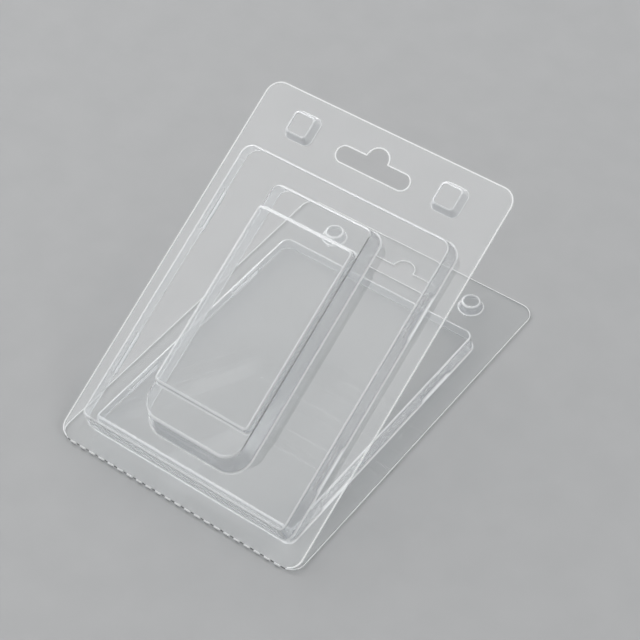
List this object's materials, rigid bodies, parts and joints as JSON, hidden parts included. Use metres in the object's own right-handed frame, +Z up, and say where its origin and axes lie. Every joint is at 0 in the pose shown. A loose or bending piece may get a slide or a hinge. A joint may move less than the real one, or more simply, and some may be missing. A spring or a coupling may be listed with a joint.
{
  "type": "hinged clamshell blister box",
  "caption": "Clear film clamshell pack: a lid with a raised panel and stepped product block, hinged at a perforated crease to a back leaf with a plug, snap buttons and a hang slot.",
  "frame": {"origin": "bottom centre of the whole part, on the table under the back leaf", "axes": "+X along the crease, +Y from the crease to the hang edge, +Z up from the table"},
  "size_m": [0.11, 0.1571, 0.0795],
  "materials": {
    "clear_film": "clear glossy thermoformed film"
  },
  "bodies": {
    "base": {"back_shell": "clear_film", "hinge_webs": "clear_film"},
    "lid": {"front_shell": "clear_film"}
  },
  "joints": [
    {"name": "lid_hinge", "type": "hinge", "parent": "base", "child": "lid", "pos_m": [0, -0.07785, 0.0007], "axis": [1, 0, 0], "range_deg": [-30, 150], "stiffness_Nm_per_rad": 0.03, "springref_deg": 18.59, "deforming": ["hinge_webs"]}
  ]
}
